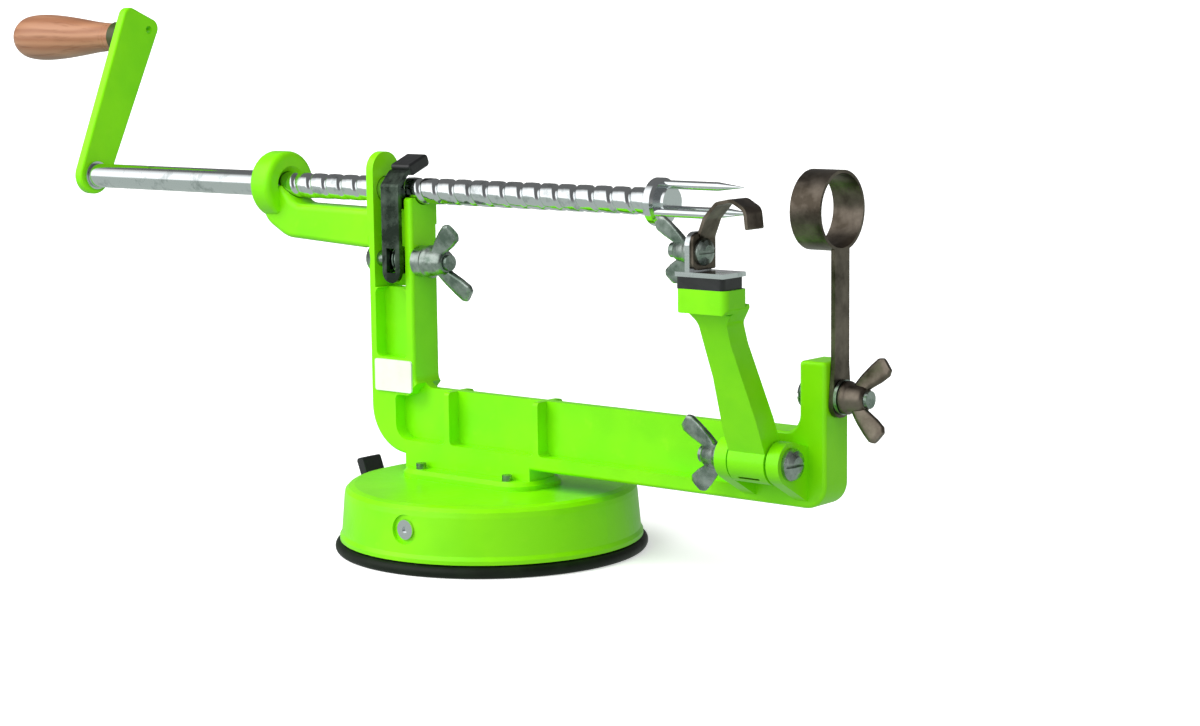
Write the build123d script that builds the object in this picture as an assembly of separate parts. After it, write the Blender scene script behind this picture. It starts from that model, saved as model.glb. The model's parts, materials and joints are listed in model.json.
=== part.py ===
from build123d import *
import math
import os

# Fruit peeler, slicer and corer with a suction base. Millimetres, +Z up, +X from the crank towards the slicer,
# +Y to the back. The origin is the centre of the suction pad's underside.

# Base
pad_radius = 49.2
pad_height = 4.0
housing_radius = 47.0
housing_top_radius = 46.0
housing_top = 21.0
housing_wall = 2.0
pin_x = 6.0
pin_z = 13.5
pin_radius = 3.0

# Frame casting
half_depth = 6.0
web_half = 1.5
post_left = -45.7
post_right = -26.5
rim = 2.9
post_top = 123.0
beam_bottom = 27.0
beam_top = 48.4
end_left = 121.0
end_right = 129.8
end_top = 69.0
boss_left = -95.0
boss_right = -86.0
boss_radius = 11.0

# Shaft and crank
shaft_z = 111.0
shaft_radius = 4.2
thread_radius = 4.15
thread_pitch = 7.0
thread_offset = 0.6
bore_radius = 4.28
saddle_radius = 4.45
thread_left = -98.5
thread_right = 66.0
crank_face = -185.2
crank_thickness = 3.8
grip_y = 21.5
grip_z = 159.5
grip_left = -249.5
grip_right = -196.4

# Fasteners
bolt_radius = 2.5
bolt_bore = 2.56
blade_bolt_radius = 2.1
blade_bolt_bore = 2.16
strip_left = end_right + 0.3
strip_thickness = 1.4
release_y = -2.5
release_z = 89.0
lever_left = -37.2
lever_right = -29.7
arm_y = -14.5
arm_z = 41.0
slicer_z = 58.8
blade_y = -37.0
blade_z = 101.5

low = (Align.CENTER, Align.CENTER, Align.MIN)


def bar_x(radius, x0, x1, y, z):
    return Pos(x0, y, z) * Rot(0, 90, 0) * Cylinder(radius, x1 - x0, align=low)


def bar_y(radius, y0, y1, x, z):
    return Pos(x, y0, z) * Rot(-90, 0, 0) * Cylinder(radius, y1 - y0, align=low)


def bar_z(radius, z0, z1, x, y):
    return Pos(x, y, z0) * Cylinder(radius, z1 - z0, align=low)


def block(x0, x1, y0, y1, z0, z1):
    middle = ((x0 + x1) / 2, (y0 + y1) / 2, (z0 + z1) / 2)
    return Pos(*middle) * Box(x1 - x0, y1 - y0, z1 - z0)


def outline(points, radii):
    # a closed outline whose corners have their own radii
    sketch = make_face(Polyline(*points, close=True))
    for point, radius in zip(points, radii):
        if radius > 0:
            corner = sketch.vertices().sort_by_distance(Vector(point[0], point[1], 0))[0]
            sketch = fillet(corner, radius)
    return sketch


def hull(*circles):
    # the outline stretched round circles given as (u, v, radius)
    edges = ShapeList()
    for u, v, radius in circles:
        edges += (Pos(u, v) * Circle(radius)).edges()
    return make_hull(edges)


def front_slab(sketch, y0, y1):
    # a sketch of X and Z, extruded through Y
    return extrude(Plane.XZ.offset(-y1) * sketch, amount=y1 - y0)


def side_slab(sketch, x0, x1):
    # a sketch of Y and Z, extruded through X
    return extrude(Plane.YZ.offset(x0) * sketch, amount=x1 - x0)


def spun(points):
    # (radius, height) points revolved about Z
    return revolve(Plane.XZ * make_face(Polyline(*points, close=True)), Axis.Z)


def along_x(part, x, y, z):
    return Pos(x, y, z) * Rot(0, 90, 0) * part


# Base ---------------------------------------------------------------------------------------------------------


def suction_pad():
    rubber = spun([
        (0, 0), (pad_radius, 0), (pad_radius, 1.4), (pad_radius - 1.2, pad_height), (13, pad_height),
        (11.5, 6.6), (3.3, 6.6), (3.3, 5.0), (6.6, 5.0), (6.6, 1.4), (0, 1.4),
    ])
    groove = spun([(41.0, -1), (42.2, -1), (42.2, 0.5), (41.0, 0.5)])
    outer_groove = spun([(44.6, -1), (45.8, -1), (45.8, 0.5), (44.6, 0.5)])
    return rubber - groove - outer_groove


def base_housing():
    wall = spun([
        (0, housing_top), (housing_top_radius - 3.2, housing_top), (housing_top_radius - 1.4, housing_top - 0.5),
        (housing_top_radius - 0.3, housing_top - 1.6), (housing_top_radius, housing_top - 3.2),
        (housing_radius, pad_height + 2.4), (housing_radius + 0.7, pad_height + 1.2),
        (housing_radius + 0.7, pad_height), (housing_radius - housing_wall, pad_height),
        (housing_top_radius - housing_wall, housing_top - 3.4), (housing_top_radius - 4.6, housing_top - housing_wall),
        (0, housing_top - housing_wall),
    ])
    slot = block(-52, -38, -4.6, 4.6, 4.9, 18.2)
    wall -= slot
    wall -= bar_y(pin_radius + 0.05, -52, 52, pin_x, pin_z)
    # the front hole is a keyhole, so that the pin's flat can be turned home
    wall -= bar_y(4.5, -52, -45.4, pin_x - 0.3, pin_z)
    wall -= bar_y(2.2, -52, -45.4, pin_x + 3.6, pin_z + 3.6)
    for x in (-22, 14):
        for y in (-8.5, 8.5):
            wall -= bar_z(1.7, 18, 22, x, y)
    return wall


def base_screws():
    screws = []
    for x in (-22, 14):
        for y in (-8.5, 8.5):
            shank = bar_z(1.6, housing_top - housing_wall, 25.4, x, y)
            head = bar_z(3.0, 17.0, housing_top - housing_wall, x, y)
            cross = Pos(x, y, 17.0) * (Box(3.2, 0.7, 1.6) + Box(0.7, 3.2, 1.6))
            screws.append(shank + head - cross)
    return Compound(children=screws)


def lever_pivot_pin():
    pin = bar_y(pin_radius, -46.2, 46.0, pin_x, pin_z)
    return pin - bar_y(1.0, -47, -45.6, pin_x, pin_z)


def suction_lever():
    points = [
        (pin_x, pin_z + 2.4), (-14, pin_z + 1.9), (-44, 16.4), (-49.8, 17.4), (-52.0, 22.2), (-54.0, 21.4),
        (-51.6, 15.4), (-45.6, 13.8), (-14, pin_z - 1.2), (pin_x, pin_z - 2.4),
    ]
    strip = front_slab(outline(points, [0, 0, 0, 2.0, 0.6, 0.6, 3.5, 0, 0, 0]), -3.4, 3.4)
    strip -= block(-12.5, 20, -10, 10, 0, 30)
    cheeks = []
    outer = hull((pin_x, pin_z, 5.2), (-13.6, pin_z + 0.4, 1.6))
    for y0 in (-6.2, 4.0):
        cheeks.append(front_slab(outer, y0, y0 + 2.2))
    bridge = block(-16.5, -12.3, -6.2, 6.2, pin_z - 1.2, pin_z + 2.2)
    cam_pin = bar_y(1.5, -4.1, 4.1, pin_x - 8, pin_z)
    lever = strip + bridge + cheeks[0] + cheeks[1] + cam_pin
    return lever - bar_y(pin_radius + 0.06, -10, 10, pin_x, pin_z)


def suction_lever_grip():
    points = [(-50.1, 17.9), (-52.3, 23.6), (-54.9, 22.6), (-52.6, 16.7)]
    cap = front_slab(outline(points, [0.5, 1.0, 1.0, 0.5]), -4.2, 4.2)
    return cap - suction_lever_core()


def suction_lever_core():
    points = [
        (-44, 16.4), (-49.8, 17.4), (-52.0, 22.2), (-54.0, 21.4), (-51.6, 15.4), (-45.6, 13.8),
    ]
    return front_slab(outline(points, [0, 2.0, 0.6, 0.6, 3.5, 0]), -3.4, 3.4)


def suction_stem():
    head = bar_z(6.0, 3.5, 4.7, 0, 0)
    neck = bar_z(2.8, 3.5, 9.6, 0, 0)
    yoke = block(-5.4, 10.6, -3.4, 3.4, 8.4, 20.0 - 1.8)
    yoke -= block(pin_x - 3.4, pin_x + 3.4, -5, 5, pin_z - 3.5, 30)
    yoke -= bar_y(1.85, -5, 5, pin_x - 8, pin_z)
    return head + neck + yoke


# Frame casting ------------------------------------------------------------------------------------------------


def frame_body():
    points = [
        (post_left, beam_bottom), (end_right, beam_bottom), (end_right, end_top), (end_left, end_top),
        (end_left, beam_top), (post_right, beam_top), (post_right, 109.0), (post_left, 109.0),
    ]
    body = front_slab(outline(points, [15, 7, 1.2, 1.2, 5.4, 4, 0, 0]), -half_depth, half_depth)
    faces = body.faces().filter_by(Axis.Y)
    return fillet(faces.edges(), 1.1)


def frame_pockets():
    # the same pockets on the front and the back leave a web between them
    upper = [(post_left + rim, 57.8), (post_right - rim, 57.8), (post_right - rim, 80.0), (post_left + rim, 80.0)]
    corner = [(-35.0, 31.6), (-14.0, 31.6), (-14.0, 52.0), (-24.0, 52.0), (-29.4, 46.0), (-35.0, 46.0)]
    middle = [(-12.0, 31.6), (22.6, 31.6), (22.6, 52.0), (-12.0, 52.0)]
    long = [(24.6, 31.6), (101.6, 31.6), (101.6, 52.0), (24.6, 52.0)]
    radii = [[2] * 4, [5, 1.5, 0, 0, 0, 1.5], [1.5, 1.5, 0, 0], [1.5, 1.5, 0, 0]]
    cuts = []
    for points, round_by in zip((upper, corner, middle, long), radii):
        shape = outline(points, round_by)
        cuts.append(front_slab(shape, -10, -web_half))
        cuts.append(front_slab(shape, web_half, 10))
    return cuts


def left_plate():
    # the tall plate that closes round the shaft
    shape = outline([(-6, 96), (6, 96), (6, post_top), (-6, post_top)], [0, 0, 5.9, 5.9])
    return side_slab(shape, post_left, post_left + rim)


def rear_arm():
    shape = outline([
        (boss_left, 100), (-84, 94.0), (post_left + 1, 92.0), (post_left + 1, 104.6), (-80, 105.2),
        (boss_right, 111), (boss_left, 111),
    ], [8, 12, 0, 0, 6, 0, 0])
    arm = front_slab(shape, -half_depth + 0.6, half_depth - 0.6)
    arm = fillet(arm.faces().filter_by(Axis.Y).edges(), 1.8)
    boss = along_x(Cylinder(boss_radius, boss_right - boss_left, align=low), boss_left, 0, shaft_z)
    boss = fillet(boss.faces().filter_by(Axis.X).edges(), 2.0)
    boss -= Pos(boss_right - 1.8, 0, shaft_z) * Rot(0, 90, 0) * Cone(bore_radius, 6.1, 1.81, align=low)
    return arm + boss


def foot():
    shape = Pos(-4, 0) * RectangleRounded(54, 25, 9)
    plate = extrude(Plane.XY.offset(housing_top) * shape, amount=2.6)
    plate = chamfer(plate.faces().sort_by(Axis.Z)[-1].edges(), 1.2)
    rise = block(-31, 21, -half_depth, half_depth, housing_top + 1, beam_bottom + 2)
    return plate + rise


def arm_lug(x0, x1):
    return side_slab(hull((arm_y, arm_z, 6.2), (-3, arm_z - 5, 7.5)), x0, x1)


def main_frame():
    body = frame_body()
    for cut in frame_pockets():
        body -= cut
    # channel of the release lever, open to the front, with a saddle behind the shaft
    channel = block(post_left + rim, post_right - rim, -10, 2.5, 80.0, 130)
    body = body + left_plate() + rear_arm() + foot()
    body -= channel
    body += block(post_left + 1, post_right - 0.05, 2.5, half_depth - 0.05, 100, 113)
    body -= bar_x(saddle_radius, post_left + rim, post_right + 5, 0, shaft_z)
    body -= block(post_right - rim, post_right + 1, -10, 10, 109.0, 130)
    body += arm_lug(102.0, 106.2)
    body += arm_lug(119.8, 124.0)
    body += block(101.6, end_left + 2, -half_depth, half_depth, beam_bottom + 1.2, beam_top - 0.6)
    body -= bar_x(bore_radius, boss_left - 5, post_left + rim + 0.5, 0, shaft_z)
    body -= bar_x(bolt_bore, post_left - 5, post_right + 5, release_y, release_z)
    sink = Pos(post_left, release_y, release_z) * Rot(0, 90, 0) * Cone(4.45, bolt_bore, 1.92, align=low)
    body = body - sink - bar_x(4.45, post_left - 3, post_left, release_y, release_z)
    body -= bar_x(bolt_bore, 90, 130, arm_y, arm_z)
    body -= bar_x(bolt_bore, 115, 140, 0, slicer_z)
    for x in (-22, 14):
        for y in (-8.5, 8.5):
            body -= bar_z(1.65, housing_top - 1, 25.6, x, y)
    return body


def label_plate():
    plate = outline([(-43.2, 46.9), (-27.4, 46.9), (-27.4, 57.1), (-43.2, 57.1)], [0.8] * 4)
    return front_slab(plate, -half_depth - 0.6, -half_depth)


# Fasteners ----------------------------------------------------------------------------------------------------


def wing_nut(size, bore):
    # axis +Z, seat at Z 0, wings along X
    hub = spun([(0, 0), (4.7, 0), (4.7, 1.2), (4.1, 2.4), (3.7, 6.4), (3.3, 6.9), (0, 6.9)])
    points = [
        (0, 2.2), (4.2, 2.5), (12.1, 10.9), (9.3, 13.5), (2.4, 6.2), (0, 6.2),
    ]
    wing = front_slab(outline(points, [0, 1.5, 1.5, 1.5, 1.5, 0]), -1.15, 1.15)
    nut = hub + wing + Rot(0, 0, 180) * wing
    return scale(nut, size) - Cylinder(bore, 40)


def placed_nut(x, y, z, facing, turn, size=1.0, bore=bolt_bore):
    # facing +1 points the nut's wings towards +X, and -1 towards -X; turn spins it about its bolt
    return Pos(x, y, z) * Rot(0, 90 * facing, 0) * Rot(0, 0, turn) * wing_nut(size, bore)


def round_head(radius, height):
    dome = spun([
        (0, 0), (radius, 0), (radius, 0.35 * height), (0.86 * radius, 0.72 * height),
        (0.5 * radius, 0.96 * height), (0, height),
    ])
    return dome - Pos(0, 0, height) * Box(0.95, 3 * radius, 0.9 * height)


def release_bolt():
    # a countersunk screw, flush with the post's left side
    shank = bar_x(bolt_radius, post_left, post_right + 13.4, release_y, release_z)
    head = Pos(post_left, release_y, release_z) * Rot(0, 90, 0) * Cone(4.4, bolt_radius, 1.9, align=low)
    return shank + head - block(post_left - 1, post_left + 0.7, release_y - 0.45, release_y + 0.45, 80, 98)


def release_spacer():
    ring = bar_x(4.9, post_right, post_right + 4.2, release_y, release_z)
    ring = chamfer(ring.faces().filter_by(Axis.X).edges(), 0.4)
    return ring - bar_x(bolt_bore, post_right - 1, post_right + 6, release_y, release_z)


def peel_pivot_bolt():
    shank = bar_x(bolt_radius, 93.6, 124.0, arm_y, arm_z)
    head = Pos(124.0, arm_y, arm_z) * Rot(0, 90, 0) * round_head(4.6, 2.8)
    return shank + head


def slicer_bolt():
    shank = bar_x(bolt_radius, end_left, 141.0, 0, slicer_z)
    head = Pos(end_left, 0, slicer_z) * Rot(0, -90, 0) * round_head(4.6, 2.8)
    return shank + head


def coil(radius, wire, turns, pitch):
    # a helix of wire about Z that starts at Z 0
    path = Helix(pitch, turns * pitch, radius)
    start = Plane(origin=path @ 0, z_dir=path % 0)
    return sweep(start * Circle(wire), path=path, is_frenet=True)


def release_spring():
    spring = coil(3.75, 0.55, 3.0, 1.2)
    return Pos(lever_left + 1.95, release_y, release_z) * Rot(0, 90, 0) * spring


def peel_spring():
    spring = coil(3.8, 0.6, 4.0, 1.4)
    return Pos(110.2, arm_y, arm_z) * Rot(0, 90, 0) * spring


# Crank and shaft ----------------------------------------------------------------------------------------------


def crank_washer():
    ring = bar_x(4.95, crank_face + 0.2, crank_face + 1.0, 0, shaft_z)
    return ring - bar_x(shaft_radius + 0.06, crank_face - 1, crank_face + 3, 0, shaft_z)


def thread():
    # a knuckle thread: a round section carried along a tight helix without turning
    length = thread_right - thread_left
    path = Helix(thread_pitch, length, thread_offset)
    section = Pos(thread_offset, 0, 0) * Circle(thread_radius - thread_offset)
    rope = sweep(section, path=path, normal=Vector(0, 0, 1))
    return Pos(thread_left, 0, shaft_z) * Rot(0, 90, 0) * rope


def crank_shaft():
    plain = bar_x(shaft_radius, crank_face - crank_thickness, thread_left, 0, shaft_z)
    return plain + thread()


def crank_rivet():
    # the shaft's end, headed over against the arm
    return Pos(crank_face - crank_thickness, 0, shaft_z) * Rot(0, -90, 0) * round_rivet(5.0, 1.6)


def fruit_fork():
    hub = bar_x(7.2, thread_right, thread_right + 4.0, 0, shaft_z)
    hub = chamfer(hub.faces().filter_by(Axis.X).edges(), 0.8)
    hub = hub + bar_x(4.6, thread_right + 3.6, thread_right + 6.4, 0, shaft_z)
    for angle in (90, 210, 330):
        y = 5.2 * math.cos(math.radians(angle))
        z = shaft_z + 5.2 * math.sin(math.radians(angle))
        tine = bar_x(1.3, thread_right + 3, 89, y, z)
        tip = Pos(89, y, z) * Rot(0, 90, 0) * Cone(1.3, 0.15, 9, align=low)
        hub = hub + tine + tip
    return hub


def crank_arm():
    reach = math.hypot(grip_y, grip_z - shaft_z)
    along = (grip_y / reach, (grip_z - shaft_z) / reach)
    across = (along[1], -along[0])
    corners = [(0, shaft_z, 6.6)]
    for side in (-5.0, 5.0):
        y = grip_y + 5.5 * along[0] + side * across[0]
        z = grip_z + 5.5 * along[1] + side * across[1]
        corners.append((y, z, 3.4))
    arm = side_slab(hull(*corners), crank_face - crank_thickness, crank_face)
    arm = fillet(arm.faces().filter_by(Axis.X).edges(), 0.9)
    arm -= bar_x(shaft_radius, crank_face - 10, crank_face + 5, 0, shaft_z)
    arm -= bar_x(1.4, crank_face - 10, crank_face + 5, grip_y + 5.5, grip_z + 2.4)
    return arm - bar_x(bolt_radius, crank_face - 10, crank_face - 1.0, grip_y, grip_z)


def handle_pin():
    # screwed into the arm's blind hole
    shank = bar_x(bolt_radius, grip_left + 4.0, crank_face - 1.0, grip_y, grip_z)
    tail = bar_x(4.0, grip_left + 2.6, grip_left + 4.0, grip_y, grip_z)
    return shank + tail


def round_rivet(radius, height):
    return spun([
        (0, 0), (radius, 0), (0.94 * radius, 0.4 * height), (0.72 * radius, 0.76 * height),
        (0.4 * radius, 0.95 * height), (0, height),
    ])


def wood_handle():
    # (share of the length, radius) from the ferrule to the free end
    stations = [
        (0.0, 5.0), (0.065, 5.0), (0.195, 5.6), (0.39, 6.9), (0.59, 8.0), (0.76, 8.4), (0.89, 7.9), (0.965, 6.4),
    ]
    length = grip_right - grip_left
    curve = Spline(*[(radius, share * length) for share, radius in stations], (4.4, length))
    shape = make_face([
        curve, Line((4.4, length), (0, length)), Line((0, length), (0, 0)), Line((0, 0), (5.0, 0)),
    ])
    grip = revolve(Plane.XZ * shape, Axis.Z)
    grip -= Cylinder(bolt_radius + 0.08, 2 * length + 10)
    grip -= Pos(0, 0, length - 4.4) * Cylinder(4.2, 10, align=low)
    return Pos(grip_right, grip_y, grip_z) * Rot(0, -90, 0) * grip


def handle_ferrule():
    ring = bar_x(5.5, grip_right, crank_face - crank_thickness - 0.4, grip_y, grip_z)
    ring = chamfer(ring.faces().filter_by(Axis.X).edges(), 0.5)
    return ring - bar_x(bolt_radius + 0.08, grip_right - 1, crank_face, grip_y, grip_z)


# Release lever ------------------------------------------------------------------------------------------------


def release_lever():
    left = lever_left
    right = lever_right
    plate = outline([(left, 82.0), (right, 82.0), (right, 112.2), (left, 112.2)], [3.6, 3.6, 0, 0])
    leg = front_slab(plate, -8.3, -6.8)
    leg -= block(left + 1.9, right - 1.9, -9, -6, 85.2, 93.0)
    tab = side_slab(outline([
        (-8.3, 111.5), (-6.8, 111.5), (-6.8, 112.4), (-3.6, 115.9), (4.6, 119.2), (4.0, 120.6), (-4.4, 117.2),
        (-8.3, 113.0),
    ], [0, 0, 0.6, 2.5, 0, 0, 4, 1.5]), left, right)
    lever = leg + tab
    for x0 in (left, right - 1.3):
        ear = hull((release_y, release_z, 4.0), (-7.2, release_z + 2, 1.0), (-7.2, release_z - 3, 1.0))
        lever += side_slab(ear, x0, x0 + 1.3)
    return lever - bar_x(bolt_bore + 0.02, left - 3, right + 3, release_y, release_z)


def thumb_cap():
    shape = outline([(-1.6, 115.6), (6.6, 118.8), (5.2, 122.6), (-3.8, 119.0)], [1.0, 1.3, 1.3, 1.0])
    cap = side_slab(shape, lever_left - 0.4, lever_right + 0.4)
    cap = fillet(cap.faces().filter_by(Axis.X).edges(), 0.7)
    return cap - release_lever()


def half_nut():
    body = block(lever_left + 0.4, lever_right - 0.6, -6.8, -1.4, 105.4, 111.6)
    return body - bar_x(saddle_radius, -50, -20, 0, shaft_z)


# Peeling arm --------------------------------------------------------------------------------------------------


def arm_frame(y, z):
    # a point of the arm's own side view, y out from the apple side and z along the arm, in the row's Y and Z
    lean = math.radians(23.5)
    return (arm_y + y * math.cos(lean) - z * math.sin(lean), arm_z + y * math.sin(lean) + z * math.cos(lean))


def peel_arm():
    side = [arm_frame(y, z) for y, z in [(-4, 0), (4, 0), (3.6, 49), (-3.6, 49)]]
    stem_side = side_slab(make_face(Polyline(*side, close=True)), 95, 130)
    front = outline([
        (106.8, 36), (119.2, 36), (119.2, 54), (117.6, 76), (118.0, 82), (121.6, 86.4), (121.6, 96), (104.6, 96),
        (104.6, 86.0), (108.4, 82), (108.4, 66), (106.8, 50),
    ], [0, 0, 8, 8, 3, 1.5, 0, 0, 1.5, 4, 12, 8])
    stem = stem_side & front_slab(front, -60, 0)
    hub = bar_x(6.4, 106.8, 119.2, arm_y, arm_z)
    platform = block(104.6, 121.6, -41.6, -31.0, 85.0, 91.6)
    platform = fillet(platform.edges().filter_by(Axis.Z), 2.0)
    platform = platform & front_slab(front, -60, 0)
    arm = stem + hub + platform
    arm -= block(109.4, 116.6, arm_y - 4.8, arm_y + 7, arm_z - 4.8, arm_z + 7.2)
    return arm - bar_x(bolt_bore + 0.02, 100, 125, arm_y, arm_z)


def blade_spacer():
    plate = block(104.6, 120.6, -41.6, -31.4, 91.6, 94.9)
    return fillet(plate.edges().filter_by(Axis.Z), 1.6)


def blade_bracket():
    foot_plate = block(104.8, 121.0, -41.8, -31.2, 94.9, 96.2)
    wall = outline([(-41.8, 95.5), (-31.8, 95.5), (-31.8, 107), (-41.8, 107)], [0, 0, 3.6, 3.6])
    bracket = foot_plate + side_slab(wall, 108.2, 109.8)
    return bracket - bar_x(blade_bolt_bore, 100, 115, blade_y, blade_z)


def peel_blade():
    # a strip that stands on the bracket and loops over towards the slicer
    line = [(110.3, 97.0), (110.3, 105.4), (112.4, 110.6), (116.4, 114.8), (121.4, 115.8), (125.8, 113.4), (126.4, 108.6)]
    path = FilletPolyline(*line, radius=2.4)
    face = make_face(offset(path, amount=0.5, side=Side.BOTH).edges())
    strip = front_slab(face, -38.6, -31.2)
    shank = side_slab(outline([(-41.4, 97.0), (-31.6, 97.0), (-31.6, 106.4), (-41.4, 106.4)], [1.5] * 4), 109.8, 110.8)
    blade = strip + shank
    return blade - bar_x(blade_bolt_bore, 100, 115, blade_y, blade_z)


def blade_bolt():
    shank = bar_x(blade_bolt_radius, 100.4, 110.8, blade_y, blade_z)
    head = Pos(110.8, blade_y, blade_z) * Rot(0, 90, 0) * round_head(3.8, 2.2)
    return shank + head


# Slicer -------------------------------------------------------------------------------------------------------


def slicer_blade():
    x0 = strip_left
    x1 = strip_left + strip_thickness
    strip = outline([(-5.0, 53.0), (5.0, 53.0), (3.6, 68.0), (3.6, 102.4), (-3.6, 102.4), (-3.6, 68.0)], [4, 4, 6, 0, 0, 6])
    blade = side_slab(strip, x0, x1) + bar_x(11.3, x1 - 10.0, x1, 0, shaft_z)
    blade -= bar_x(10.4, x0 - 20, x0 + 10, 0, shaft_z)
    return blade - bar_x(bolt_bore + 0.02, x0 - 5, x0 + 5, 0, slicer_z)


def slicer_washer():
    x0 = strip_left + strip_thickness + 0.2
    return bar_x(5.0, x0, x0 + 1.0, 0, slicer_z) - bar_x(bolt_bore, x0 - 1, x0 + 3, 0, slicer_z)


parts = {
    "suction_pad": suction_pad(),
    "base_housing": base_housing(),
    "base_screws": base_screws(),
    "lever_pivot_pin": lever_pivot_pin(),
    "suction_lever": suction_lever(),
    "suction_lever_grip": suction_lever_grip(),
    "suction_stem": suction_stem(),
    "main_frame": main_frame(),
    "label_plate": label_plate(),
    "release_bolt": release_bolt(),
    "release_spring": release_spring(),
    "release_spacer": release_spacer(),
    "release_lever": release_lever(),
    "thumb_cap": thumb_cap(),
    "half_nut": half_nut(),
    "release_wing_nut": placed_nut(post_right + 4.5, release_y, release_z, 1, 20, 1.1),
    "crank_washer": crank_washer(),
    "crank_shaft": crank_shaft(),
    "crank_rivet": crank_rivet(),
    "fruit_fork": fruit_fork(),
    "crank_arm": crank_arm(),
    "handle_pin": handle_pin(),
    "wood_handle": wood_handle(),
    "handle_ferrule": handle_ferrule(),
    "peel_pivot_bolt": peel_pivot_bolt(),
    "peel_spring": peel_spring(),
    "peel_arm": peel_arm(),
    "peel_wing_nut": placed_nut(101.7, arm_y, arm_z, -1, -16),
    "blade_spacer": blade_spacer(),
    "blade_bracket": blade_bracket(),
    "peel_blade": peel_blade(),
    "blade_bolt": blade_bolt(),
    "blade_wing_nut": placed_nut(107.9, blade_y, blade_z, -1, -18, 0.84, blade_bolt_bore),
    "slicer_bolt": slicer_bolt(),
    "slicer_blade": slicer_blade(),
    "slicer_washer": slicer_washer(),
    "slicer_wing_nut": placed_nut(strip_left + 2.9, 0, slicer_z, 1, -12),
}

os.makedirs("parts", exist_ok=True)
for name, shape in parts.items():
    export_step(shape, f"parts/{name}.step")
    print(name, round(shape.volume))
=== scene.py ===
import json
import math

import bmesh
import bpy
import numpy as np
from mathutils import Matrix, Vector


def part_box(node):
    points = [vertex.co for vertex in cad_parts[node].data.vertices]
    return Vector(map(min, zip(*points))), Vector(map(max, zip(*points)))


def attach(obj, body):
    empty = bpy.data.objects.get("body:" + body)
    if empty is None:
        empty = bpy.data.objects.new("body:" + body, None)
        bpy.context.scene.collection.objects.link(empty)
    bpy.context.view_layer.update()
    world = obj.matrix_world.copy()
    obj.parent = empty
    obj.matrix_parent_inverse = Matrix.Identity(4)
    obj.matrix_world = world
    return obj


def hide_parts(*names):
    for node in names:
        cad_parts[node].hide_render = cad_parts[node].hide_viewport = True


# A hand-cranked fruit peeler, slicer and corer in lime enamel, on a suction base.
# Metres, +X along the shaft towards the slicer, +Y to the back, +Z up.

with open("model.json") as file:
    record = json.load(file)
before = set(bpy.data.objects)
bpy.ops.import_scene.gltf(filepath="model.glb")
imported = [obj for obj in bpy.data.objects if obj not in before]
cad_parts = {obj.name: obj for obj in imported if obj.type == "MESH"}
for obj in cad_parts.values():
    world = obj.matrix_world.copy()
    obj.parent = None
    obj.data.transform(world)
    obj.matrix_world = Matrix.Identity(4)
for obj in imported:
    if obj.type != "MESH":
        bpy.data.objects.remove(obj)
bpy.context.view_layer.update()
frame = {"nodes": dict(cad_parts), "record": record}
nodes = frame["nodes"]
print("frame loaded:", len(nodes), "nodes")

mm = 0.001


def spanOf(node, axis):
    # lowest and highest coordinate of a CAD node along one axis
    low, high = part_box(node)
    return low[axis], high[axis]


def middleOf(node):
    low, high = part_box(node)
    return (low + high) / 2


def ringGrid(rings, closedEnds=True):
    # rings is an array of m rings of n points; neighbouring rings are joined by quads, and each end ring is
    # closed by a fan to its own centre
    m, n = rings.shape[:2]
    points = rings.reshape(-1, 3)
    i, j = np.meshgrid(np.arange(m - 1), np.arange(n), indexing="ij")
    k = (j + 1) % n
    quads = np.stack([i * n + j, i * n + k, (i + 1) * n + k, (i + 1) * n + j], -1).reshape(-1, 4)
    faces = quads.tolist()
    if closedEnds:
        points = np.vstack([points, rings[0].mean(0), rings[-1].mean(0)])
        first, last = m * n, m * n + 1
        around = np.arange(n)
        after = (around + 1) % n
        faces += np.stack([after, around, np.full(n, first)], -1).tolist()
        faces += np.stack([(m - 1) * n + around, (m - 1) * n + after, np.full(n, last)], -1).tolist()
    return points, faces


def pieceFrom(name, shells, body, finish, stoodFor=(), sharpDeg=35):
    # joins several closed shells into one mesh, turns their faces outwards, and gives them a body and
    # a finish
    points, faces, start = [], [], 0
    for shellPoints, shellFaces in shells:
        points.append(shellPoints)
        faces += [[v + start for v in face] for face in shellFaces]
        start += len(shellPoints)
    mesh = bpy.data.meshes.new(name)
    mesh.from_pydata(np.vstack(points).tolist(), [], faces)
    work = bmesh.new()
    work.from_mesh(mesh)
    bmesh.ops.remove_doubles(work, verts=work.verts, dist=1e-7)
    bmesh.ops.recalc_face_normals(work, faces=work.faces)
    work.to_mesh(mesh)
    work.free()
    mesh.shade_smooth()
    mesh.set_sharp_from_angle(angle=math.radians(sharpDeg))
    piece = bpy.data.objects.new(name, mesh)
    bpy.context.scene.collection.objects.link(piece)
    piece.data.materials.append(finish.material)
    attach(piece, body)
    if stoodFor:
        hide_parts(*stoodFor)
    return piece


def lathe(profile, around=96):
    # turns (distance along Z, radius) pairs about Z: x = r cos a, y = r sin a, z = distance
    along, radius = np.array(profile, float).T
    a = np.linspace(0, 2 * np.pi, around, endpoint=False)
    x = radius[:, None] * np.cos(a)
    y = radius[:, None] * np.sin(a)
    z = np.repeat(along[:, None], around, 1)
    return ringGrid(np.stack([x, y, z], -1))


def hollowLathe(profile, around=96):
    # a lathe whose profile is a closed loop that never meets the axis, so the last ring joins the first
    along, radius = np.array(profile, float).T
    a = np.linspace(0, 2 * np.pi, around, endpoint=False)
    rings = np.stack([
        radius[:, None] * np.cos(a), radius[:, None] * np.sin(a), np.repeat(along[:, None], around, 1),
    ], -1)
    rings = np.concatenate([rings, rings[:1]])
    return ringGrid(rings, closedEnds=False)


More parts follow.
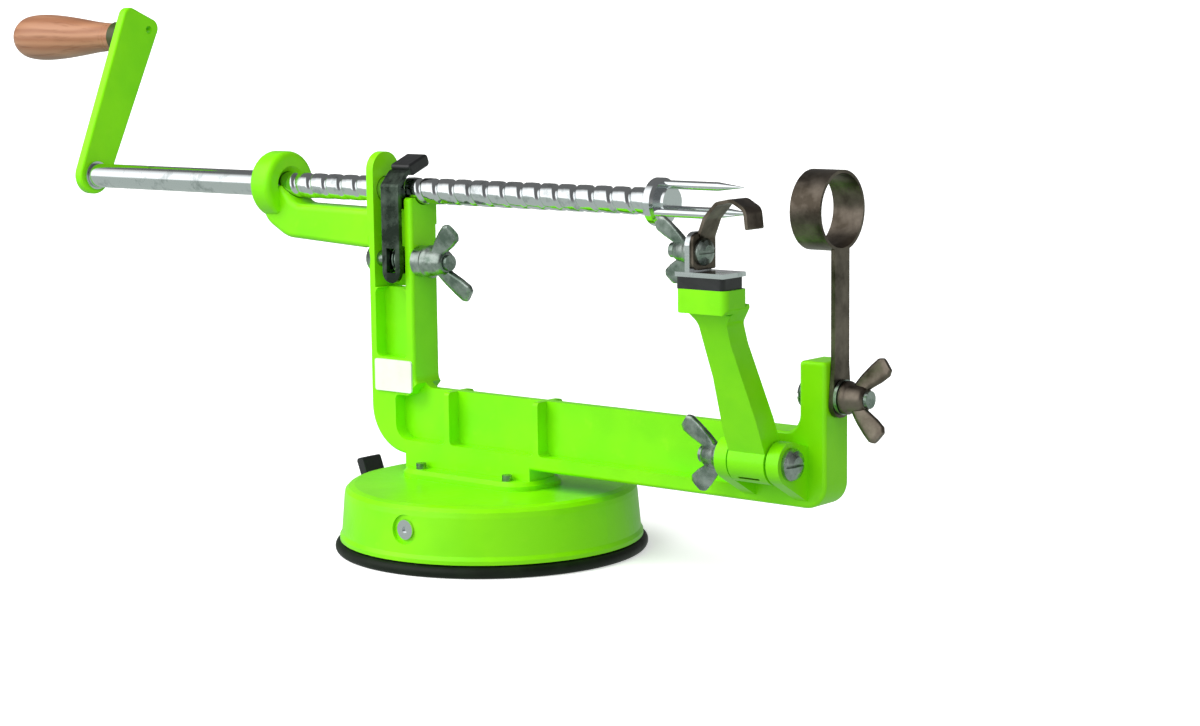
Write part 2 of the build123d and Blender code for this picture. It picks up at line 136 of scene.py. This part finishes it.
def smoothLine(points, steps):
    # a Catmull-Rom curve through the points, as many steps between each pair
    p = np.array(points, float)
    p = np.vstack([2 * p[0] - p[1], p, 2 * p[-1] - p[-2]])
    t = np.linspace(0, 1, steps, endpoint=False)[:, None]
    a, b, c, d = p[:-3, None], p[1:-2, None], p[2:-1, None], p[3:, None]
    square = 2 * a - 5 * b + 4 * c - d
    cube = 3 * b - a - 3 * c + d
    bend = 0.5 * (2 * b + (c - a) * t + square * t ** 2 + cube * t ** 3)
    return np.vstack([bend.reshape(-1, p.shape[1]), p[-2]])


def tube(line, width, thick=None, side=None, around=16, power=2.0):
    # carries a rounded section along a line: width across `side`, thick along the third direction.
    # the section is |u/width|^power + |v/thick|^power = 1, so a higher power is squarer
    line = np.array(line, float)
    width = np.broadcast_to(np.array(width, float), len(line))
    thick = width if thick is None else np.broadcast_to(np.array(thick, float), len(line))
    ahead = np.gradient(line, axis=0)
    ahead /= np.linalg.norm(ahead, axis=1)[:, None]
    if side is None:
        side = np.cross(ahead, [0.31, 0.17, 0.93])
    side = np.broadcast_to(np.array(side, float), line.shape)
    third = np.cross(ahead, side)
    third /= np.linalg.norm(third, axis=1)[:, None]
    side = np.cross(third, ahead)
    a = np.linspace(0, 2 * np.pi, around, endpoint=False)
    u = np.sign(np.cos(a)) * np.abs(np.cos(a)) ** (2 / power)
    v = np.sign(np.sin(a)) * np.abs(np.sin(a)) ** (2 / power)
    rings = line[:, None] + side[:, None] * (u * width[:, None])[..., None]
    rings = rings + third[:, None] * (v * thick[:, None])[..., None]
    return ringGrid(rings)


def placed(shell, matrix):
    # the same shell after a 4x4 placing
    points, faces = shell
    m = np.array(matrix)
    return points @ m[:3, :3].T + m[:3, 3], faces


def alongX(x, y, z, facing=1, turn=0.0):
    # takes +Z to +X (or to -X when facing is -1) and then to the place
    tilt = Matrix.Rotation(facing * math.pi / 2, 4, "Y")
    return Matrix.Translation((x, y, z)) @ tilt @ Matrix.Rotation(math.radians(turn), 4, "Z")


class Signal:
    # one socket inside a finish; plus, minus and times add Math nodes behind it
    def __init__(self, finish, socket):
        self.finish = finish
        self.socket = socket

    def maths(self, operation, first, second):
        return self.finish.node("ShaderNodeMath", {"operation": operation}, {0: first, 1: second})

    def __add__(self, other):
        return self.maths("ADD", self, other)

    def __radd__(self, other):
        return self.maths("ADD", other, self)

    def __sub__(self, other):
        return self.maths("SUBTRACT", self, other)

    def __rsub__(self, other):
        return self.maths("SUBTRACT", other, self)

    def __mul__(self, other):
        return self.maths("MULTIPLY", self, other)

    def __rmul__(self, other):
        return self.maths("MULTIPLY", other, self)


class NodeBench:
    # adds nodes to one tree; self.place is the point or direction that its patterns read
    def __init__(self, tree, place):
        self.tree = tree
        self.place = self.node("ShaderNodeTexCoord", {}, {}, place)

    def node(self, kind, settings, sockets, out=0):
        made = self.tree.nodes.new(kind)
        for key, value in settings.items():
            setattr(made, key, value)
        for key, value in sockets.items():
            self.feed(made.inputs[key], value)
        return Signal(self, made.outputs[out])

    def feed(self, socket, value):
        if isinstance(value, Signal):
            self.tree.links.new(value.socket, socket)
        else:
            socket.default_value = value

    def noise(self, scale, detail=2.0, roughness=0.5, stretch=(1, 1, 1)):
        spot = self.node("ShaderNodeMapping", {}, {"Vector": self.place, "Scale": stretch})
        sockets = {"Vector": spot, "Scale": scale, "Detail": detail, "Roughness": roughness}
        return self.node("ShaderNodeTexNoise", {}, sockets)

    def ramp(self, signal, low, high):
        # 0 below low, 1 above high, and straight between
        sockets = {"Value": signal, "From Min": low, "From Max": high}
        return self.node("ShaderNodeMapRange", {"clamp": True}, sockets)

    def blend(self, share, first, second):
        # a colour between two
        return self.node("ShaderNodeMix", {"data_type": "RGBA"}, {0: share, 6: first, 7: second}, 2)


class Finish(NodeBench):
    # one material: steady numbers sit on the shader's own sockets, and what varies is linked
    def __init__(self, name, **steady):
        self.material = bpy.data.materials.new(name)
        self.material.use_nodes = True
        super().__init__(self.material.node_tree, "Object")
        self.shader = self.tree.nodes["Principled BSDF"]
        for socket, value in steady.items():
            self.shader.inputs[socket.replace("_", " ")].default_value = value

    def bump(self, height, distance, strength=1.0):
        sockets = {"Height": height, "Distance": distance, "Strength": strength}
        normal = self.node("ShaderNodeBump", {}, sockets)
        self.feed(self.shader.inputs["Normal"], normal)

    def use(self, **varying):
        for socket, value in varying.items():
            self.feed(self.shader.inputs[socket.replace("_", " ")], value)
        return self


def shade(red, green, blue):
    # a colour given on the usual 0-255 display scale, as linear light
    c = np.array([red, green, blue]) / 255
    linear = np.where(c <= 0.04045, c / 12.92, ((c + 0.055) / 1.055) ** 2.4)
    return (*linear.tolist(), 1.0)


def limeEnamel():
    # glossy lime powder enamel over a casting: slight orange peel, cloudy tone, paler thin patches
    look = {
        "deep": shade(122, 226, 2), "bright": shade(138, 238, 3), "thin": shade(166, 242, 40),
        "cloudScale": 34.0, "peelScale": 620.0, "castScale": 210.0,
    }
    f = Finish("limeEnamel", IOR=1.45, Coat_Weight=0.18, Coat_Roughness=0.12, Specular_IOR_Level=0.28)
    cloud = f.noise(look["cloudScale"], 3.0, 0.55)
    body = f.blend(f.ramp(cloud, 0.34, 0.62), look["deep"], look["bright"])
    speck = f.ramp(f.noise(look["castScale"], 3.0, 0.6), 0.62, 0.78)
    colour = f.blend(speck * 0.22, body, look["thin"])
    peel = f.noise(look["peelScale"], 2.0, 0.5)
    cast = f.noise(look["castScale"], 2.0, 0.5)
    f.bump(peel * 0.35 + cast * 0.65, 0.00035, 0.35)
    rough = 0.32 + peel * 0.10 + speck * 0.08
    return f.use(Base_Color=colour, Roughness=rough)


def blackRubber():
    # moulded rubber, dark green-black, with a dusty bloom
    look = {"clean": shade(10, 20, 8), "dusty": shade(32, 46, 28), "dustScale": 90.0, "grainScale": 900.0}
    f = Finish("blackRubber", IOR=1.45, Specular_IOR_Level=0.35)
    dust = f.ramp(f.noise(look["dustScale"], 4.0, 0.6), 0.45, 0.75)
    colour = f.blend(dust * 0.6, look["clean"], look["dusty"])
    f.bump(f.noise(look["grainScale"], 3.0, 0.6), 0.00012, 0.5)
    return f.use(Base_Color=colour, Roughness=0.46 + dust * 0.2)


def blackPlastic():
    # dipped vinyl grips: glossy black with a slight ripple
    look = {"deep": shade(8, 9, 10), "worn": shade(34, 36, 38), "rippleScale": 240.0}
    f = Finish("blackPlastic", IOR=1.5, Coat_Weight=0.3, Coat_Roughness=0.12)
    ripple = f.noise(look["rippleScale"], 2.0, 0.5)
    colour = f.blend(ripple, look["deep"], look["worn"])
    f.bump(ripple, 0.0004, 0.5)
    return f.use(Base_Color=colour, Roughness=0.28 + ripple * 0.14)


def whitePlate():
    # a blank white plate whose tone drifts in soft clouds towards a faint green, a painted reflection of the
    # lime paint beside it
    look = {
        "greenReflection": shade(226, 238, 212), "white": shade(248, 251, 243),
        "cloudScale": 160.0, "grainScale": 700.0,
    }
    f = Finish("whitePlate", IOR=1.5, Coat_Weight=0.4, Coat_Roughness=0.1)
    cloud = f.noise(look["cloudScale"], 2.0, 0.5)
    # painted green reflection: the white drifts towards the green-tinged tone in soft clouds
    colour = f.blend(cloud, look["greenReflection"], look["white"])
    f.bump(f.noise(look["grainScale"], 2.0, 0.5), 0.0001, 0.3)
    return f.use(Base_Color=colour, Roughness=0.3 + cloud * 0.12)


def chromedSteel():
    # bright plate: fine drawing marks along the bar and a few dull spots
    look = {
        "bright": shade(226, 231, 233), "dull": shade(176, 184, 184),
        "drawnScale": 300.0, "drawnStretch": (0.12, 6.0, 6.0), "spotScale": 140.0,
    }
    f = Finish("chromedSteel", Metallic=1.0)
    drawn = f.noise(look["drawnScale"], 3.0, 0.6, look["drawnStretch"])
    spot = f.ramp(f.noise(look["spotScale"], 4.0, 0.6), 0.58, 0.74)
    colour = f.blend(spot, look["bright"], look["dull"])
    f.bump(drawn, 0.00004, 0.3)
    return f.use(Base_Color=colour, Roughness=0.09 + drawn * 0.07 + spot * 0.12)


def platedSteel():
    # zinc on pressings and castings: grey with a green-blue tinge, mottled and a little rough
    look = {
        "dull": shade(118, 136, 124), "bright": shade(196, 206, 200),
        "mottleScale": 190.0, "grainScale": 1100.0,
    }
    f = Finish("platedSteel", Metallic=1.0)
    mottle = f.ramp(f.noise(look["mottleScale"], 4.0, 0.62), 0.35, 0.68)
    colour = f.blend(mottle, look["dull"], look["bright"])
    grain = f.noise(look["grainScale"], 3.0, 0.6)
    f.bump(grain * 0.5 + mottle * 0.5, 0.00018, 0.45)
    return f.use(Base_Color=colour, Roughness=0.2 + mottle * 0.12 + grain * 0.06)


def darkSteel():
    # blade steel gone brown-grey, ground along its length
    look = {
        "stained": shade(84, 76, 66), "bare": shade(138, 128, 116),
        "groundScale": 420.0, "groundStretch": (4.0, 4.0, 0.15), "stainScale": 110.0,
    }
    f = Finish("darkSteel", Metallic=1.0)
    ground = f.noise(look["groundScale"], 3.0, 0.6, look["groundStretch"])
    stain = f.ramp(f.noise(look["stainScale"], 4.0, 0.6), 0.38, 0.66)
    colour = f.blend(stain, look["stained"], look["bare"])
    f.bump(ground, 0.00006, 0.4)
    return f.use(Base_Color=colour, Roughness=0.26 + ground * 0.12 + stain * 0.08)


def blackenedAndShadedSteel():
    # pressings in nearly black green-grey steel, a darker copy of the plated steel's tone: partly
    # oil-blackening, partly painted shade, with lighter green-grey patches at random where the oil has worn
    # thin
    look = {
        "oiledAndShaded": shade(52, 62, 54), "worn": shade(112, 126, 114),
        "wearScale": 150.0, "grainScale": 900.0,
    }
    f = Finish("blackenedAndShadedSteel", Metallic=1.0)
    worn = f.ramp(f.noise(look["wearScale"], 4.0, 0.62), 0.42, 0.72)
    # the near-black tone is partly painted shade; the lighter patches are wear
    colour = f.blend(worn, look["oiledAndShaded"], look["worn"])
    f.bump(f.noise(look["grainScale"], 3.0, 0.6), 0.00012, 0.4)
    return f.use(Base_Color=colour, Roughness=0.26 + worn * 0.12)


def turnedWood():
    # lacquered hardwood: long grain along the grip, rings across it, fine dark pores
    look = {
        "early": shade(150, 97, 66), "late": shade(190, 139, 105), "pore": shade(116, 72, 44),
        "wanderScale": 38.0, "wanderStretch": (0.35, 1.0, 1.0),
        "ringScale": 95.0, "ringStretch": (0.10, 1.0, 1.0),
        "poreScale": 700.0, "poreStretch": (0.05, 1.0, 1.0),
    }
    f = Finish("turnedWood", IOR=1.48, Coat_Weight=0.35, Coat_Roughness=0.2)
    wander = f.noise(look["wanderScale"], 3.0, 0.55, look["wanderStretch"])
    spot = f.node("ShaderNodeMapping", {}, {"Vector": f.place, "Scale": look["ringStretch"]})
    bands = {"wave_type": "BANDS", "bands_direction": "Z", "wave_profile": "SIN"}
    rings = f.node("ShaderNodeTexWave", bands, {
        "Vector": spot, "Scale": look["ringScale"], "Distortion": 5.0, "Detail": 3.0, "Detail Scale": 1.4,
    }, "Fac")
    pores = f.ramp(f.noise(look["poreScale"], 2.0, 0.6, look["poreStretch"]), 0.56, 0.70)
    tone = f.blend(rings * 0.55 + wander * 0.45, look["early"], look["late"])
    colour = f.blend(pores * 0.4, tone, look["pore"])
    f.bump(pores * -1.0, 0.00012, 0.4)
    return f.use(Base_Color=colour, Roughness=0.36 + pores * 0.2 + wander * 0.08)


def shadedOliveCollar():
    # the collar between the wood and the arm, dark olive: the lime enamel's colour with painted shade, as if
    # in the shadow between the grip and the arm
    look = {"deep": shade(34, 40, 10), "pale": shade(74, 84, 26), "cloudScale": 260.0}
    f = Finish("shadedOliveCollar", IOR=1.5, Coat_Weight=0.3, Coat_Roughness=0.15)
    cloud = f.noise(look["cloudScale"], 3.0, 0.5)
    # painted shade: a darker and a paler shaded olive in soft clouds
    colour = f.blend(cloud, look["deep"], look["pale"])
    f.bump(cloud, 0.0002, 0.3)
    return f.use(Base_Color=colour, Roughness=0.34 + cloud * 0.1)


finishes = {
    "green_enamel": limeEnamel(),
    "black_rubber": blackRubber(),
    "black_plastic": blackPlastic(),
    "white_plate": whitePlate(),
    "chromed_steel": chromedSteel(),
    "plated_steel": platedSteel(),
    "dark_steel": darkSteel(),
    "blackened_steel": blackenedAndShadedSteel(),
    "turned_wood": turnedWood(),
    "dark_ferrule": shadedOliveCollar(),
}
print("finishes made:", len(finishes))

slotOf = {}
for row in frame["record"]["subparts"]:
    slotOf[row["node"]] = row["material_slot"]
for name, node in nodes.items():
    node.data.materials.clear()
    node.data.materials.append(finishes[slotOf[name]].material)


grip = {
    # share of the length from the collar, and radius in mm: a slim neck that swells and rounds over
    "profile": [(0.0, 4.5), (0.006, 5.0), (0.065, 5.05), (0.195, 5.6), (0.39, 6.9), (0.59, 8.0), (0.76, 8.4),
                (0.89, 7.9), (0.955, 6.7), (0.988, 5.2), (1.0, 4.3)],
    "dimple": 4.15, "dimpleDepth": 2.4, "grooves": (0.045, 0.075), "grooveDepth": 0.22, "grooveShare": 0.006,
}


def woodGrip():
    left, right = spanOf("wood_handle", 0)
    centre = middleOf("wood_handle")
    length = right - left
    line = smoothLine(grip["profile"], 14)
    share, radius = line[:, 0], line[:, 1] * mm
    for g in grip["grooves"]:
        radius = radius - grip["grooveDepth"] * mm * np.exp(-((share - g) / grip["grooveShare"]) ** 2)
    outer = np.stack([share * length, radius], -1)
    floor = length - grip["dimpleDepth"] * mm
    dimple = [[length - 0.0001 * mm, grip["dimple"] * mm], [floor, grip["dimple"] * mm * 0.96]]
    shell = lathe(np.vstack([outer, dimple]))
    shell = placed(shell, alongX(right, centre.y, centre.z, -1))
    wood = finishes["turned_wood"]
    return pieceFrom("turnedGrip", [shell], "handle", wood, ["wood_handle"], 50)


pad = {
    # mm: heights of the crown and its stem socket, the round lip, and the ribs under it
    "socket": [(6.6, 3.3), (6.6, 11.5)], "crown": 4.0, "crownStart": 13.0, "shoulder": 2.2,
    "lipHalf": 1.75, "lipRound": 1.5, "ribs": 3, "ribDepth": 0.5, "ribPitch": 3.4, "ribInset": 4.0,
    "around": 160,
}


def rubberPad():
    low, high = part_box("suction_pad")
    radius = (high.x - low.x) / 2 / mm
    # from the stem socket out over the top, round the lip, and in along the grooved underside
    profile = pad["socket"] + [(pad["crown"], pad["crownStart"]), (pad["crown"], radius - pad["shoulder"])]
    a = np.linspace(np.pi / 2, -np.pi / 2, 14)
    half, bulge = pad["lipHalf"], pad["lipRound"]
    lip = np.stack([half + half * np.sin(a), radius - bulge + bulge * np.cos(a)], -1)
    under = []
    for n in range(pad["ribs"]):
        r = radius - pad["ribInset"] - pad["ribPitch"] * n
        under += [(0.0, r), (pad["ribDepth"], r - 0.5), (pad["ribDepth"], r - 1.1), (0.0, r - 1.6)]
    profile += lip.tolist() + under + [(0.0, 9.0), (1.4, 6.6), (5.0, 6.6), (5.0, 3.3)]
    shell = hollowLathe(np.array(profile) * mm, pad["around"])
    rubber = finishes["black_rubber"]
    return pieceFrom("suctionLip", [shell], "frame", rubber, ["suction_pad"], 40)


wings = {
    "hub": [(0, 4.7), (1.0, 4.75), (1.6, 4.3), (2.4, 4.05), (5.8, 3.6), (6.6, 3.2), (6.9, 2.7)],
    # reach from the axis and height above the seat, along the middle of one wing
    "line": [(2.2, 3.7), (4.8, 5.9), (7.4, 8.9), (9.3, 11.1), (10.2, 12.2)],
    "width": [1.9, 2.4, 3.0, 3.1, 2.2], "thick": [1.5, 1.2, 1.1, 1.1, 0.8],
    "hubAround": 48, "earAround": 24, "earPower": 3.2,
}


def wingShells(size, bore):
    hub = [(z * size * mm, r * size * mm) for z, r in wings["hub"]]
    inside = [(wings["hub"][-1][0] * size * mm, bore * mm), (0.0, bore * mm)]
    shells = [hollowLathe(hub + inside, wings["hubAround"])]
    line = smoothLine(np.array(wings["line"]), 8)
    share = np.linspace(0, 1, len(line))
    knots = np.linspace(0, 1, len(wings["width"]))
    width = np.interp(share, knots, wings["width"]) * size * mm
    thick = np.interp(share, knots, wings["thick"]) * size * mm
    for hand in (1, -1):
        path = np.stack([hand * line[:, 0], 0 * line[:, 0], line[:, 1]], -1) * size * mm
        ear = tube(path, thick, width, side=(0, 1, 0), around=wings["earAround"], power=wings["earPower"])
        shells.append(ear)
    return shells


def wingNut(name, node, body, facing, turn, size, bore, slotName):
    low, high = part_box(node)
    seat = low.x if facing > 0 else high.x
    centre = middleOf(node)
    where = alongX(seat, centre.y, centre.z, facing, turn)
    shells = [placed(shell, where) for shell in wingShells(size, bore)]
    return pieceFrom(name, shells, body, finishes[slotName], [node], 40)


springs = {
    "release": {"radius": 3.75, "wire": 0.55, "turns": 3.0, "start": 0.0},
    "peel": {"radius": 3.8, "wire": 0.6, "turns": 4.0, "start": 1.2},
}


def coilLine(x0, x1, centre, sizes):
    # a helix about X: angle grows steadily along it
    t = np.linspace(0, 1, int(sizes["turns"] * 40))
    a = sizes["start"] + t * sizes["turns"] * 2 * np.pi
    radius = sizes["radius"] * mm
    return np.stack([x0 + (x1 - x0) * t, centre.y + radius * np.cos(a), centre.z + radius * np.sin(a)], -1)


def torsionSpring(name, node, body, sizes):
    low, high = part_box(node)
    centre = middleOf(node)
    wire = sizes["wire"] * mm
    line = coilLine(low.x + wire, high.x - wire, centre, sizes)
    shell = tube(line, wire, around=12)
    return pieceFrom(name, [shell], body, finishes["plated_steel"], [node], 60)


screw = {
    # mm: a wide rounded crest with a narrow groove, wound about the bar as a right-hand thread
    "pitch": 7.0, "crest": 4.15, "depth": 0.95, "crown": 0.12, "grooveShare": 0.36, "fade": 3.0,
    "step": 0.3, "around": 56, "lead": 3.5,
}


def rolledScrew():
    # the radius at (x, angle) depends on the phase x / pitch - angle / turn: the crest's radius, less a
    # slight crown, less the depth times a raised cosine across the groove
    left, right = spanOf("crank_shaft", 0)
    boss = spanOf("main_frame", 0)[0]
    centre = middleOf("crank_washer")
    begin = boss - screw["lead"] * mm
    x = np.arange(left, right, screw["step"] * mm)
    x = np.append(x, right)
    a = np.linspace(0, 2 * np.pi, screw["around"], endpoint=False)
    phase = (x[:, None] - begin) / (screw["pitch"] * mm) - a / (2 * np.pi)
    away = np.abs(phase - np.round(phase)) * 2
    groove = np.clip(1 - away / screw["grooveShare"], 0, 1)
    groove = 0.5 - 0.5 * np.cos(np.pi * groove)
    grow = np.clip((x - begin) / (screw["fade"] * mm), 0, 1)[:, None]
    radius = screw["crest"] - screw["crown"] * (1 - away) * grow - screw["depth"] * groove * grow
    radius = np.where(x[:, None] < begin, (spanOf("crank_shaft", 2)[1] - centre.z) / mm, radius) * mm
    rings = np.stack([
        np.repeat(x[:, None], screw["around"], 1),
        centre.y + radius * np.cos(a), centre.z + radius * np.sin(a),
    ], -1)
    shell = ringGrid(rings)
    chrome = finishes["chromed_steel"]
    return pieceFrom("feedScrew", [shell], "crank", chrome, ["crank_shaft"], 50)


woodGrip()
rubberPad()
rolledScrew()
# name, node, body, side it faces along X, turn in degrees, size, bore in mm, slot
nuts = [
    ("releaseWingNut", "release_wing_nut", "release_nut", 1, 20, 1.1, 2.56, "plated_steel"),
    ("peelWingNut", "peel_wing_nut", "peeler_nut", -1, -16, 1.0, 2.56, "plated_steel"),
    ("bladeWingNut", "blade_wing_nut", "blade_nut", -1, -18, 0.84, 2.16, "plated_steel"),
    ("slicerWingNut", "slicer_wing_nut", "slicer_nut", 1, -12, 1.0, 2.56, "dark_steel"),
]
for row in nuts:
    wingNut(*row)
torsionSpring("releaseCoil", "release_spring", "frame", springs["release"])
torsionSpring("peelCoil", "peel_spring", "frame", springs["peel"])
print("pieces made")


studio = {
    "floorRadius": 3.2, "wallHeight": 3.4, "bend": 1.0, "bowlAround": 120,
    "floorTone": shade(250, 251, 250), "floorShade": shade(244, 246, 245), "floorGlow": 0.50,
    "sunStrength": 2.25, "sunAngle": 50.0, "sunFrom": (-0.42, -0.50, 0.76),
    "fillStrength": 0.75, "fillAngle": 60.0, "fillFrom": (0.80, -0.52, 0.30),
    "spotPlace": (0.42, -0.72, 0.42), "spotAim": (-0.19, 0.01, 0.12), "spotPower": 18.0, "spotCone": 14.0,
    "boxFrom": (-0.34, -0.84, 0.42), "boxLight": 1.25, "overhead": 0.16, "horizon": 0.34, "below": 0.52,
    "boxEdge": (0.60, 0.86), "aboveEdge": (0.02, 0.30), "belowEdge": (-0.06, 0.02), "spotRadius": 0.12,
    "lens": 75.0, "sensor": 36.0, "cameraAt": (0.5137, -0.5794, 0.1650),
    "cameraRight": (0.7781, 0.6281, -0.0112), "cameraAhead": (-0.6233, 0.7698, -0.1374),
}


def studioBowl():
    # a pale floor that curves up into a round wall; a lathe profile from the middle out
    r, h, b = studio["floorRadius"], studio["wallHeight"], studio["bend"]
    a = np.linspace(-np.pi / 2, 0, 24)
    curve = [[b + b * math.sin(t), r - b + b * math.cos(t)] for t in a]
    profile = np.array([[0.0, 0.0], [0.0, 0.6], [0.0, 1.4]] + curve + [[h, r]])
    around = np.linspace(0, 2 * np.pi, studio["bowlAround"], endpoint=False)
    rings = np.stack([
        profile[:, 1, None] * np.cos(around), profile[:, 1, None] * np.sin(around),
        np.repeat(profile[:, :1], studio["bowlAround"], 1),
    ], -1)
    points, faces = ringGrid(rings, closedEnds=False)
    mesh = bpy.data.meshes.new("studioBowl")
    mesh.from_pydata(points.tolist(), [], faces)
    mesh.shade_smooth()
    bowl = bpy.data.objects.new("studioBowl", mesh)
    bpy.context.scene.collection.objects.link(bowl)
    f = Finish("paperFloor", Roughness=0.9, Specular_IOR_Level=0.1)
    f.shader.inputs["Emission Color"].default_value = (1.0, 1.0, 1.0, 1.0)
    f.shader.inputs["Emission Strength"].default_value = studio["floorGlow"]
    tone = f.noise(1.6, 2.0, 0.5)
    f.use(Base_Color=f.blend(tone * 0.2, studio["floorTone"], studio["floorShade"]))
    mesh.materials.append(f.material)
    # the paper is only a background: metal and paint get their light from the sky and the lamp
    bowl.visible_diffuse = False
    bowl.visible_glossy = False
    bowl.visible_transmission = False
    bowl.visible_shadow = False


def softSun(name, strength, angle, source):
    # a wide sun that shines from the source direction; the metal mirrors the sky and not the sun
    lamp = bpy.data.lights.new(name, "SUN")
    lamp.energy = strength
    lamp.angle = math.radians(angle)
    holder = bpy.data.objects.new(name, lamp)
    bpy.context.scene.collection.objects.link(holder)
    holder.rotation_euler = (-Vector(source)).to_track_quat("-Z", "Y").to_euler()
    holder.visible_glossy = False


def crankSpot():
    # a small lamp aimed at the crank, whose flat face turns away from the rest of the light
    lamp = bpy.data.lights.new("crankSpot", "SPOT")
    lamp.energy = studio["spotPower"]
    lamp.spot_size = math.radians(studio["spotCone"])
    lamp.spot_blend = 0.9
    lamp.shadow_soft_size = studio["spotRadius"]
    holder = bpy.data.objects.new("crankSpot", lamp)
    bpy.context.scene.collection.objects.link(holder)
    holder.location = studio["spotPlace"]
    aim = Vector(studio["spotAim"]) - Vector(studio["spotPlace"])
    holder.rotation_euler = aim.to_track_quat("-Z", "Y").to_euler()
    holder.visible_glossy = False


def studioSky():
    # a bright soft box in front, dim overhead and behind, and the paper's glow from below, so that
    # bright metal shows a dark upper edge, a white band and a grey lower half
    world = bpy.data.worlds.new("studioSky")
    bpy.context.scene.world = world
    world.use_nodes = True
    sky = NodeBench(world.node_tree, "Generated")
    up = sky.node("ShaderNodeSeparateXYZ", {}, {0: sky.place}, 2)
    facing = sky.node("ShaderNodeVectorMath", {"operation": "DOT_PRODUCT"}, {
        0: sky.place, 1: tuple(Vector(studio["boxFrom"]).normalized()),
    }, "Value")
    box = sky.ramp(facing, *studio["boxEdge"])
    above = sky.ramp(up, *studio["aboveEdge"])
    below = 1.0 - sky.ramp(up, *studio["belowEdge"])
    rest = studio["horizon"] + above * (studio["overhead"] - studio["horizon"])
    rest = rest + below * (studio["below"] - studio["horizon"])
    light = rest + box * (1.0 - below) * studio["boxLight"]
    back = world.node_tree.nodes["Background"]
    sky.feed(back.inputs["Strength"], light)
    sky.feed(back.inputs["Color"], sky.blend(below, (1.0, 1.0, 1.0, 1.0), (0.90, 1.0, 0.93, 1.0)))


def studioCamera():
    # stands in front of the slicer's end and a little above, looking back along the shaft
    lens = bpy.data.cameras.new("camera")
    lens.lens = studio["lens"]
    lens.sensor_width = studio["sensor"]
    camera = bpy.data.objects.new("camera", lens)
    bpy.context.scene.collection.objects.link(camera)
    right = Vector(studio["cameraRight"]).normalized()
    ahead = Vector(studio["cameraAhead"]).normalized()
    up = right.cross(ahead)
    turn = Matrix((right, up, -ahead)).transposed().to_4x4()
    camera.matrix_world = Matrix.Translation(studio["cameraAt"]) @ turn
    lens.clip_start = 0.01
    lens.clip_end = 50.0
    bpy.context.scene.camera = camera


studioBowl()
studioSky()
softSun("keySun", studio["sunStrength"], studio["sunAngle"], studio["sunFrom"])
softSun("fillSun", studio["fillStrength"], studio["fillAngle"], studio["fillFrom"])
crankSpot()
studioCamera()
bpy.context.scene.view_settings.view_transform = "Standard"
print("studio lit")
